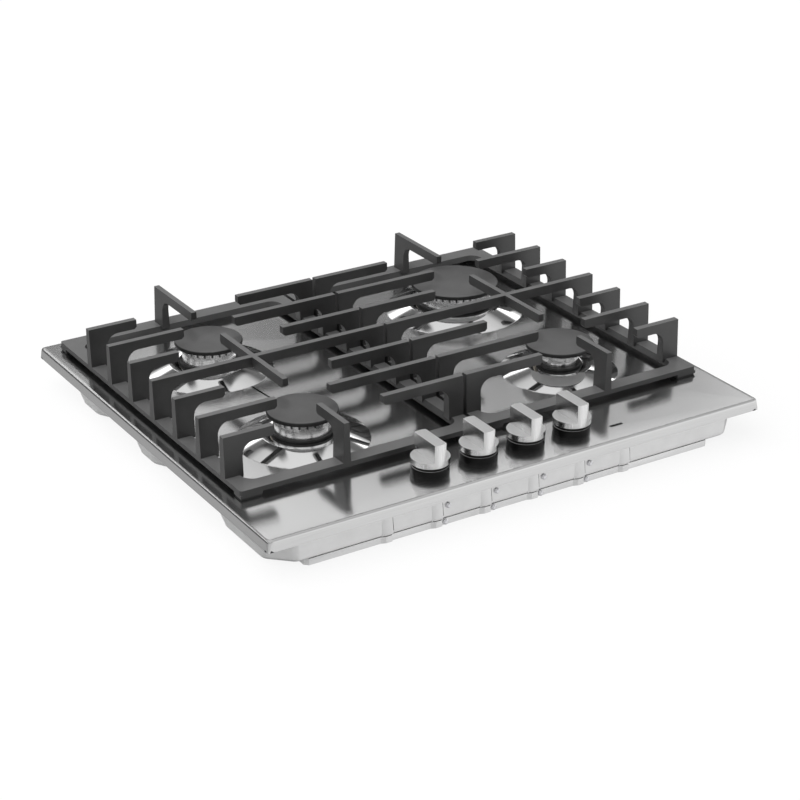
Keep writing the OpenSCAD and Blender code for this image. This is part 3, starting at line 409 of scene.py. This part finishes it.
MATERIALS = {
    "brushed_steel": brushed_steel(),
    "housing_steel": housing_steel(),
    "cast_iron": cast_iron(),
    "black_rubber": rubber(),
    "seal_rubber": simple("seal_rubber", (0.03, 0.03, 0.03), 0.0, 0.8),
    "cap_enamel": cap_enamel(),
    "crown_aluminium": crown_aluminium(),
    "base_aluminium": dark_aluminium(),
    "knob_metal": knob_metal(),
    "black_plastic": black_plastic(),
    "brass": simple("brass", (0.75, 0.55, 0.22), 1.0, 0.3),
    "zinc": simple("zinc", (0.72, 0.72, 0.74), 1.0, 0.3),
    "tube_aluminium": simple("tube_aluminium", (0.7, 0.7, 0.71), 1.0, 0.35),
    "valve_metal": simple("valve_metal", (0.55, 0.53, 0.47), 0.9, 0.45),
    "ceramic": simple("ceramic", (0.82, 0.82, 0.78), 0.0, 0.25),
    "probe_metal": simple("probe_metal", (0.5, 0.46, 0.4), 1.0, 0.4),
    "lead_silicone": simple("lead_silicone", (0.45, 0.05, 0.03), 0.0, 0.5),
    "lead_glass_fibre": simple("lead_glass_fibre", (0.68, 0.6, 0.42), 0.0, 0.8),
    "white_plastic": simple("white_plastic", (0.78, 0.78, 0.76), 0.0, 0.4),
}
POLISHED = polished_steel()
BEZEL_BLACK = bezel_black()
SLOT_OF = {row["node"]: row["material_slot"] for row in frame["record"]["subparts"]}


# Mesh helpers

SMOOTH_ANGLE = 30
LATHE_ANGLE = 28
WELD_DISTANCE = 0.002 * MM
FLAT_ANGLE = 0.4


def body_name(node):
    return body_of(frame["nodes"][node])[0]


def finish_mesh(bm, name, material, smooth_angle=SMOOTH_ANGLE):
    """Turns a bmesh into an object with one material, smooth up to an angle in degrees."""
    mesh = bpy.data.meshes.new(name)
    bm.to_mesh(mesh)
    bm.free()
    mesh.materials.append(material)
    mesh.shade_smooth()
    mesh.set_sharp_from_angle(angle=math.radians(smooth_angle))
    made = bpy.data.objects.new(name, mesh)
    bpy.context.scene.collection.objects.link(made)
    return made


def welded_copy(node):
    """The node's own mesh as a bmesh, with its triangles joined into flat faces."""
    bm = bmesh.new()
    bm.from_mesh(frame["nodes"][node].data)
    bmesh.ops.remove_doubles(bm, verts=bm.verts, dist=WELD_DISTANCE)
    bmesh.ops.dissolve_limit(
        bm, angle_limit=math.radians(FLAT_ANGLE), verts=bm.verts, edges=bm.edges)
    return bm


def bevel(piece, width, segments=2, angle=40):
    """Rounds the edges that are sharper than an angle in degrees."""
    made = piece.modifiers.new("bevel", "BEVEL")
    made.width = width
    made.segments = segments
    made.limit_method = "ANGLE"
    made.angle_limit = math.radians(angle)
    made.harden_normals = True
    made.use_clamp_overlap = True


def stand_for(piece, node):
    """The piece rides with the node's body and replaces it."""
    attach(piece, body_name(node))
    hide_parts(node)


def softened(node, width, segments=2):
    """A copy of a CAD node with its edges rounded as the real piece has them."""
    piece = finish_mesh(welded_copy(node), f"{node}_soft", MATERIALS[SLOT_OF[node]])
    bevel(piece, width, segments)
    stand_for(piece, node)


def loft(name, rings, material, closed=True, smooth_angle=SMOOTH_ANGLE):
    """Skin through rings of equally many points; closed joins the last ring to the first."""
    bm = bmesh.new()
    made = [[bm.verts.new(point) for point in ring] for ring in rings]
    pairs = list(zip(made, made[1:])) + ([(made[-1], made[0])] if closed else [])
    for here, there in pairs:
        for k in range(len(here)):
            n = (k + 1) % len(here)
            bm.faces.new((here[k], here[n], there[n], there[k]))
    if not closed:
        bm.faces.new(made[0])
        bm.faces.new(made[-1])
    bmesh.ops.recalc_face_normals(bm, faces=bm.faces)
    return finish_mesh(bm, name, material, smooth_angle)


def lathe(name, profile, centre, material, steps=128):
    """Turns a closed profile of (radius, height) points round a vertical axis."""
    bm = bmesh.new()
    rings = []
    for k in range(steps):
        turn = 2 * math.pi * k / steps
        rings.append([
            bm.verts.new((centre[0] + r * math.cos(turn), centre[1] + r * math.sin(turn), z))
            for r, z in profile])
    count = len(profile)
    for k in range(steps):
        here, there = rings[k], rings[(k + 1) % steps]
        for j in range(count):
            n = (j + 1) % count
            bm.faces.new((here[j], there[j], there[n], here[n]))
    bmesh.ops.recalc_face_normals(bm, faces=bm.faces)
    return finish_mesh(bm, name, material, LATHE_ANGLE)


def arc(cx, cz, r, start, end, steps=6):
    """Points of a round stretch of a profile, angles in degrees."""
    turns = (math.radians(start + (end - start) * k / steps) for k in range(steps + 1))
    return [(cx + r * math.cos(t), cz + r * math.sin(t)) for t in turns]


# Top plate: flat sheet from the CAD mesh, polished surrounds turned anew

# Radii in mm of each cone's foot and level top and of the dark collar in it, and the top's height
CONES = {
    "front_left": {"foot": 69.0, "plateau": 44.0, "collar": 31.5, "height": 9.0},
    "rear_left": {"foot": 69.0, "plateau": 44.0, "collar": 31.5, "height": 9.0},
    "rear_right": {"foot": 80.0, "plateau": 54.5, "collar": 43.6, "height": 9.5},
    "front_right": {"foot": 64.0, "plateau": 35.5, "collar": 23.5, "height": 8.0},
}
CONE_MARGIN = 0.05
SHEET = 1.0 * MM
# Gap in mm between a collar and its polished surround, through which the dark base shows
COLLAR_GAP = 2.2
# Rounding of a surround at its foot, round its level top and at its hole; angles are in degrees
FOOT_R = 0.8 * MM
FOOT_SHARE = 0.6
FOOT_START = 20
CREST_R = 1.2 * MM
CREST_BACK = 0.4 * MM
HOLE_R = 0.5 * MM
# How far the pressed rim stands out over the modelled one, inside the skirt's flare
RIM_OUT = 2.0 * MM
RIM_FROM = 6.0 * MM


def burner_centre(burner):
    m = middle(f"cap_{burner}")
    return m[0], m[1]


BURNER_AT = {burner: burner_centre(burner) for burner in BURNERS}


def inside_cone(point):
    """Whether a point of the plate lies within one of the four cones."""
    for burner in BURNERS:
        x, y = BURNER_AT[burner]
        reach = (CONES[burner]["foot"] + CONE_MARGIN) * MM
        if math.hypot(point[0] - x, point[1] - y) < reach:
            return True
    return False


def drawn_out(value, half):
    """A coordinate of the rim, moved outwards but no further than the skirt's lower edge."""
    size = abs(value)
    if size < half - RIM_FROM:
        return value
    return math.copysign(min(size + RIM_OUT, half), value)


def plate_sheet():
    """The plate's own mesh with its rim drawn out and its cones taken off."""
    bm = welded_copy("top_plate")
    for v in bm.verts:
        v.co.x = drawn_out(v.co.x, PLATE_HALF_W)
        v.co.y = drawn_out(v.co.y, PLATE_HALF_D)
    gone = [f for f in bm.faces if all(inside_cone(v.co) for v in f.verts)]
    bmesh.ops.delete(bm, geom=gone, context="FACES")
    piece = finish_mesh(bm, "plate_sheet", MATERIALS["brushed_steel"])
    stand_for(piece, "top_plate")


def surround(burner):
    """Polished cone round a burner, with its level top and the hole for the collar."""
    cone = CONES[burner]
    foot = cone["foot"] * MM
    plateau = cone["plateau"] * MM
    height = cone["height"] * MM
    hole = (cone["collar"] + COLLAR_GAP) * MM
    top = PLATE_TOP + height
    lean = 90 - math.degrees(math.atan2(height, foot - plateau))
    upper = [(foot, PLATE_TOP)]
    upper += arc(foot - FOOT_R, PLATE_TOP, FOOT_R * FOOT_SHARE, FOOT_START, lean, steps=3)
    upper += arc(plateau - CREST_BACK, top - CREST_R, CREST_R, lean, 90, steps=5)
    upper += arc(hole + HOLE_R, top - HOLE_R, HOLE_R, 90, 180, steps=3)
    lower = [(hole, top - SHEET), (plateau - HOLE_R, top - SHEET), (foot, PLATE_TOP - SHEET)]
    piece = lathe(f"surround_{burner}", upper + lower, BURNER_AT[burner], POLISHED)
    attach(piece, body_name("top_plate"))


# Housing: drawn sheet with leaning bulges and a rounded lower edge

BOX_Z = high("base_tray")[2]
BOX_TOP = high("housing_box")[2] - SHEET
BOX_HALF_W = 283.3 * MM
BOX_FRONT = low("base_tray")[1]
BOX_REAR = 238.0 * MM
BULGE = 18.0 * MM
CORNER_CUT_W = 24.0 * MM
# The three bulges of each side, as (front, rear) places along it
BULGES = ((-229.0 * MM, -149.0 * MM), (-8.0 * MM, 38.0 * MM), (130.0 * MM, 180.0 * MM))
BULGE_FRONT_SLOPE = 31.0 * MM
BULGE_REAR_SLOPE = 12.0 * MM
SIDE_DRAFT = 1.8 * MM
LOWER_R = 4.5 * MM
LOWER_STEPS = 5
PLAN_R = 9.0 * MM
FLOOR_FLANGE = 26.0 * MM
HOUSING_SMOOTH_ANGLE = 40
# Shares of the wall's height, from its top down, at which the outline is drawn
WALL_SHARES = (0, 0.3, 0.55, 0.75, 0.9)
# Share of the radius over which a corner's curve starts, and the most it takes of either side
CORNER_SHARE = 0.5
SIDE_SHARE = 0.4
# How far the bulges reach forward at their lower edge, and back at their upper and lower edge
FRONT_LEAN = 11.0 * MM
REAR_REACH = 13.0 * MM
REAR_LEAN = 16.0 * MM


def curve_point(t, start, corner, end):
    """Point at share t of the curve that leaves start towards corner and comes to end."""
    return [
        (1 - t) ** 2 * a + 2 * t * (1 - t) * b + t ** 2 * c
        for a, b, c in zip(start, corner, end)]


def filleted(points, radius, steps=4):
    """A closed outline with each corner turned into a short curve."""
    result = []
    count = len(points)
    for k, corner in enumerate(points):
        before, after = points[k - 1], points[(k + 1) % count]
        into = math.dist(before, corner)
        out = math.dist(corner, after)
        reach = min(radius * CORNER_SHARE, into * SIDE_SHARE, out * SIDE_SHARE)
        start = [c + (b - c) * reach / into for c, b in zip(corner, before)]
        end = [c + (a - c) * reach / out for c, a in zip(corner, after)]
        for step in range(steps + 1):
            result.append(curve_point(step / steps, start, corner, end))
    return result


def housing_ring(z, inset, depth):
    """Outline of the housing at height z; depth is 0 at the top and 1 at the lower edge."""
    side = BOX_HALF_W - SIDE_DRAFT * depth - inset
    waist = side - BULGE
    half = [(side - CORNER_CUT_W + inset / 2, BOX_FRONT + inset)]
    for k, (front, rear) in enumerate(BULGES):
        if k == 0:
            start = front + inset / 2
        else:
            start = front + FRONT_LEAN * depth + inset / 2
            half.append((waist, start - BULGE_FRONT_SLOPE))
        end = rear + REAR_REACH - REAR_LEAN * depth ** 3 - inset / 2
        half += [(side, start), (side, end), (waist, end + BULGE_REAR_SLOPE)]
    half.append((waist, BOX_REAR - inset))
    outline = half + [(-x, y) for x, y in reversed(half)]
    return [(x, y, z) for x, y in filleted(outline, PLAN_R)]


def housing():
    """Shell of the housing: outer wall, rounded lower edge, floor flange and inner wall."""
    wall = BOX_TOP - BOX_Z - LOWER_R
    rings = [housing_ring(BOX_TOP - wall * share, 0, share) for share in WALL_SHARES]
    for turn in range(LOWER_STEPS + 1):
        angle = math.radians(90 * turn / LOWER_STEPS)
        inset = LOWER_R * (1 - math.cos(angle))
        rings.append(housing_ring(BOX_Z + LOWER_R * (1 - math.sin(angle)), inset, 1))
    rings.append(housing_ring(BOX_Z, FLOOR_FLANGE, 1))
    rings.append(housing_ring(BOX_Z + SHEET, FLOOR_FLANGE, 1))
    rings.append(housing_ring(BOX_Z + SHEET, LOWER_R, 1))
    rings.append(housing_ring(BOX_Z + LOWER_R, SHEET, 1))
    rings.append(housing_ring(BOX_TOP, SHEET, 0))
    piece = loft("housing_shell", rings, MATERIALS["housing_steel"],
                 smooth_angle=HOUSING_SMOOTH_ANGLE)
    stand_for(piece, "housing_box")


RIB_W = 12.0 * MM
RIB_SOFT = 5.0 * MM
RIB_DEPTH = 2.0 * MM
RIB_TOP = 26.0 * MM
# Slits of painted shadow beside the ribs: their width, how much they widen at the lower edge, and
# their top; then where each rib's right edge lies
SHADOW_SLIT_W = 0.5 * MM
SHADOW_SLIT_FLARE = 1.2 * MM
SHADOW_SLIT_TOP = 33.0 * MM
RIB_EDGE_FIRST = -152.2 * MM
RIB_EDGE_STEP = 56.8 * MM
RIBS = 6
RIB_EDGE_XS = [RIB_EDGE_FIRST + RIB_EDGE_STEP * k for k in range(RIBS)]
# How far a dark slit of painted shadow stands out of the wall, and how far a rib does at its upper
# end
SLIT_OUT = 0.04 * MM
RIB_END_OUT = 0.05 * MM
RIB_STEPS = 4
TRAY_EDGE = 0.5 * MM
TRAY_ANGLE = 20


def rib(k):
    """Pressed rib of the front wall: soft on its left, cut off sharply on its right, where the slit
    of painted shadow runs.
    """
    right = RIB_EDGE_XS[k]
    left = right - RIB_W
    root = BOX_FRONT + SHEET / 2

    def ring(z, out, back):
        face = BOX_FRONT - out + back
        inside = max(root, face + SHEET)
        front = [(left, BOX_FRONT + back, z), (left + RIB_SOFT, face, z), (right, face, z)]
        return front + [(right, inside, z), (left, inside, z)]

    rings = [ring(RIB_TOP, RIB_END_OUT, 0)]
    for turn in range(RIB_STEPS + 1):
        angle = math.radians(90 * turn / RIB_STEPS)
        level = BOX_Z + LOWER_R * (1 - math.sin(angle))
        rings.append(ring(level, RIB_DEPTH, LOWER_R * (1 - math.cos(angle))))
    piece = loft(f"front_rib_{k + 1}", rings, MATERIALS["housing_steel"], closed=False)
    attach(piece, body_name("housing_box"))


def shadow_slit(k):
    """Dark strip painted as shadow beside each rib, from the plate's skirt down to the rounded lower
    edge.
    """
    x = RIB_EDGE_XS[k]
    face = BOX_FRONT - SLIT_OUT
    deep = BOX_FRONT + SHEET / 2
    levels = ((SHADOW_SLIT_TOP, SHADOW_SLIT_W), (RIB_TOP, SHADOW_SLIT_W), (BOX_Z + LOWER_R, SHADOW_SLIT_W + SHADOW_SLIT_FLARE))
    rings = [[(x, face, z), (x + w, face, z), (x + w, deep, z), (x, deep, z)] for z, w in levels]
    piece = loft(f"front_shadow_slit_{k + 1}", rings, MATERIALS["black_plastic"], closed=False)
    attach(piece, body_name("housing_box"))


def tray():
    """The base tray with the left flank of each rib on its lip drawn out softly."""
    bm = welded_copy("base_tray")
    front = min(v.co.y for v in bm.verts)
    for v in bm.verts:
        if v.co.y < front + NEAR:
            for right in RIB_EDGE_XS:
                if abs(v.co.x - (right - RIB_W)) < NEAR:
                    v.co.x += RIB_SOFT
    piece = finish_mesh(bm, "tray_soft", MATERIALS["housing_steel"])
    bevel(piece, TRAY_EDGE, angle=TRAY_ANGLE)
    stand_for(piece, "base_tray")


# Knobs, caps and marks

KNOB_DISC = 4.4 * MM
# In the photo the disc's rim is thicker than the modelled one
DISC_MORE = 1.8 * MM
# Widths of the rounded edges of knob caps, of castings, and of crowns and burner caps
KNOB_EDGE = 0.6 * MM
CAST_EDGE = 0.9 * MM
FINE_EDGE = 0.25 * MM
BEZEL_WALL = 1.7 * MM
BEZEL_LIP = 0.3 * MM
BEZEL_BORE = 6.0 * MM
# The printed dash right of the knobs, and how deep it sits in the plate and stands on it
MARK_XS = (120.4 * MM, 135.9 * MM)
MARK_YS = (-235.4 * MM, -231.4 * MM)
MARK_DEEP = 0.02 * MM
MARK_OUT = 0.03 * MM


def knob_cap(k):
    """Knob cap with its disc's top face raised and its edges rounded."""
    node = f"knob_cap_{k}"
    bm = welded_copy(node)
    level = low(node)[2] + KNOB_DISC
    for v in bm.verts:
        if abs(v.co.z - level) < NEAR:
            v.co.z += DISC_MORE
    piece = finish_mesh(bm, f"{node}_soft", MATERIALS[SLOT_OF[node]])
    bevel(piece, KNOB_EDGE, segments=3)
    stand_for(piece, node)


def bezel(k):
    """Black ring whose level rim shows as a thin grey line of painted highlight."""
    m = middle(f"knob_core_{k}")
    bottom = low("knob_bezels")[2]
    top = high("knob_bezels")[2]
    outer = (high("knob_bezels")[1] - low("knob_bezels")[1]) / 2
    inner = outer - BEZEL_WALL
    profile = [(BEZEL_BORE, bottom), (outer, bottom)]
    profile += arc(outer - BEZEL_LIP, top - BEZEL_LIP, BEZEL_LIP, 0, 90, steps=4)
    profile += [(inner, top), (inner, bottom + SHEET), (BEZEL_BORE, bottom + SHEET)]
    piece = lathe(f"bezel_{k}", profile, (m[0], m[1]), BEZEL_BLACK)
    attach(piece, body_name("knob_bezels"))
    # One node holds all four rings, so the first ring stands for it
    if k == KNOBS[0]:
        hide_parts("knob_bezels")


def plate_mark():
    """Short black printed dash right of the knobs."""
    left, right = MARK_XS
    front, rear = MARK_YS
    outline = [(left, front), (right, front), (right, rear), (left, rear)]
    levels = (PLATE_TOP - MARK_DEEP, PLATE_TOP + MARK_OUT)
    rings = [[(x, y, z) for x, y in outline] for z in levels]
    piece = loft("plate_mark", rings, MATERIALS["black_plastic"], closed=False)
    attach(piece, body_name("top_plate"))


# Camera, light and ground

LENS = 94.24
SENSOR_W = 36
CAMERA_AT = Vector((-1078.75, -1751.19, 975.07)) * MM
# Angles in degrees: how far the camera looks down, and how far it is turned to the right
CAMERA_DOWN = 25.09
CAMERA_RIGHT = 31.95
# How far the camera sees, and half the floor's width, in metres
CAMERA_FAR = 50
FLOOR_HALF = 6
FLOOR_CELLS = 8
# Share of the floor's look that is plain white; the rest takes the shadow
FLOOR_WHITE = 0.85
FLOOR_GREY = 0.85


def camera():
    """The camera as fitted to the photo."""
    data = bpy.data.cameras.new("camera")
    data.lens = LENS
    data.sensor_width = SENSOR_W
    data.clip_end = CAMERA_FAR
    made = bpy.data.objects.new("camera", data)
    made.location = CAMERA_AT
    made.rotation_euler = (math.radians(90 - CAMERA_DOWN), 0, math.radians(-CAMERA_RIGHT))
    bpy.context.scene.collection.objects.link(made)
    bpy.context.scene.camera = made


# Brightness seen in the metal, as (height, brightness) towards the rear and towards the front;
# a height is 0 straight down, a half at the horizon and 1 straight up
REAR_BANDS = (
    (0.0, 0.25), (0.28, 0.5), (0.42, 0.4), (0.48, 0.1), (0.66, 0.03), (0.69, 0.05), (0.7, 0.5),
    (0.712, 0.6), (0.724, 1.25), (0.74, 1.8), (0.768, 1.8), (0.785, 0.16), (0.83, 0.14), (0.87, 0.6),
    (0.93, 0.75), (1.0, 0.8),
)
FRONT_BANDS = (
    (0.0, 0.8), (0.3, 0.95), (0.46, 1.25), (0.55, 1.2), (0.7, 0.7), (0.85, 0.6), (1.0, 0.8),
)
# Azimuths are in degrees, from the rear to the right. The bright side at the front right shows the
# front's bands in full; elsewhere they are mixed in by a share, from one azimuth to the other
BRIGHT_SIDE = (85.0, 165.0)
BRIGHT_SOFT = 12.0
BEHIND_FROM = 95.0
BEHIND_TO = 150.0
BEHIND_SHARE = 0.45
# Part of the rear's bright panel that is dimmed: its azimuths, where it ends upwards, by how much
DIM_SPAN = (27.5, 43.0)
DIM_SOFT = 1.0
DIM_TOP = (0.72, 0.738)
DIM_SHARE = 0.93
# Dark bars of the studio seen in the polished cones: their azimuths, and their upward part
DARK_BARS = ((0.5, 8.5), (41.0, 52.5))
BAR_SOFT = 1.5
BAR_RISE = (0.66, 0.9)
BAR_RISE_SOFT = 0.03
BAR_SHARE = 0.9
# Wide soft lamp that lights the matt pieces, and the weaker light all round
LAMP_AT = Vector((-0.8, 0.05, 0.6)).normalized()
LAMP_EDGE = 0.3
LAMP_CORE = 0.95
LAMP_POWER = 2.2
ROOM_POWER = 0.5


def metal_surroundings(graph, direction):
    """What metal mirrors: bands by height, a bright front right, a dimmed panel, two dark bars."""
    split = graph.node("ShaderNodeSeparateXYZ")
    graph.link(direction, split.inputs["Vector"])
    x, y, z = (split.outputs[axis] for axis in "XYZ")
    azimuth = graph.math("DEGREES", graph.math("ARCTAN2", x, y))
    height = graph.math("MULTIPLY_ADD", z, 0.5, 0.5)
    under = graph.math("SUBTRACT", 1.0, graph.smooth(height, *DIM_TOP))
    dim = graph.math("MULTIPLY", graph.pulse(azimuth, *DIM_SPAN, DIM_SOFT), under)
    left_over = graph.math("MULTIPLY_ADD", dim, -DIM_SHARE, 1.0)
    rear = graph.math("MULTIPLY", graph.ramp(height, *REAR_BANDS), left_over)
    front = graph.ramp(height, *FRONT_BANDS)
    facing = graph.pulse(azimuth, *BRIGHT_SIDE, BRIGHT_SOFT)
    behind = graph.smooth(graph.math("ABSOLUTE", azimuth), BEHIND_FROM, BEHIND_TO)
    base = graph.between(graph.math("MULTIPLY", behind, BEHIND_SHARE), rear, front)
    base = graph.between(facing, base, front)
    for start, end in DARK_BARS:
        bar = graph.pulse(azimuth, start, end, BAR_SOFT)
        tall = graph.pulse(z, *BAR_RISE, BAR_RISE_SOFT)
        shade = graph.math("MULTIPLY", graph.math("MULTIPLY", bar, tall), BAR_SHARE)
        base = graph.math("MULTIPLY", base, graph.math("SUBTRACT", 1.0, shade))
    return base


def soft_surroundings(graph, direction):
    """What lights the matt pieces: a wide soft lamp on the left, weaker light all round."""
    lamp = graph.node("ShaderNodeVectorMath", operation="DOT_PRODUCT")
    graph.link(direction, lamp.inputs[0])
    lamp.inputs[1].default_value = LAMP_AT
    glow = graph.smooth(lamp.outputs["Value"], LAMP_EDGE, LAMP_CORE)
    return graph.math("MULTIPLY_ADD", glow, LAMP_POWER, ROOM_POWER)


def world():
    """Studio surroundings, plain white to the camera."""
    made = bpy.data.worlds.new("studio")
    bpy.context.scene.world = made
    made.use_nodes = True
    graph = Graph(made.node_tree)
    graph.tree.nodes.clear()
    direction = graph.node("ShaderNodeTexCoord").outputs["Generated"]
    mirrored = graph.node("ShaderNodeBackground")
    graph.link(metal_surroundings(graph, direction), mirrored.inputs["Color"])
    soft = graph.node("ShaderNodeBackground")
    graph.link(soft_surroundings(graph, direction), soft.inputs["Color"])
    white = graph.node("ShaderNodeBackground")
    white.inputs["Color"].default_value = (1, 1, 1, 1)
    rays = graph.node("ShaderNodeLightPath").outputs
    lit = graph.choose(rays["Is Glossy Ray"], soft.outputs[0], mirrored.outputs[0])
    shown = graph.choose(rays["Is Camera Ray"], lit, white.outputs[0])
    graph.link(shown, graph.node("ShaderNodeOutputWorld").inputs["Surface"])


def ground():
    """White floor with a faint shadow, which metal looks through to the surroundings."""
    bm = bmesh.new()
    bmesh.ops.create_grid(bm, x_segments=FLOOR_CELLS, y_segments=FLOOR_CELLS, size=FLOOR_HALF)
    floor = Shader("floor", Roughness=0.9, Base_Color=grey(FLOOR_GREY))
    piece = finish_mesh(bm, "floor", floor.mat)
    rays = floor.node("ShaderNodeLightPath").outputs
    white = floor.node("ShaderNodeEmission").outputs[0]
    clear = floor.node("ShaderNodeBsdfTransparent").outputs[0]
    matt = floor.bsdf.outputs["BSDF"]
    faint = floor.choose(floor.math("MULTIPLY", rays["Is Camera Ray"], FLOOR_WHITE), matt, white)
    shown = floor.choose(rays["Is Glossy Ray"], faint, clear)
    floor.link(shown, floor.tree.nodes["Material Output"].inputs["Surface"])


# The pieces

plate_sheet()
for burner in BURNERS:
    surround(burner)
for side in SIDES:
    softened(f"pan_support_{side}", CAST_EDGE, segments=3)
for burner in BURNERS:
    softened(f"spreader_{burner}", FINE_EDGE)
for k in KNOBS:
    knob_cap(k)
    bezel(k)
housing()
tray()
for k in range(RIBS):
    rib(k)
    shadow_slit(k)
for burner in BURNERS:
    softened(f"cap_{burner}", FINE_EDGE)
plate_mark()

# Nodes that no drawn piece stands for show their own mesh in their own finish
for name, node in frame["nodes"].items():
    if node.hide_render:
        continue
    node.data.materials.clear()
    node.data.materials.append(MATERIALS[SLOT_OF[name]])

camera()
world()
ground()

bpy.context.scene.view_settings.view_transform = "Standard"
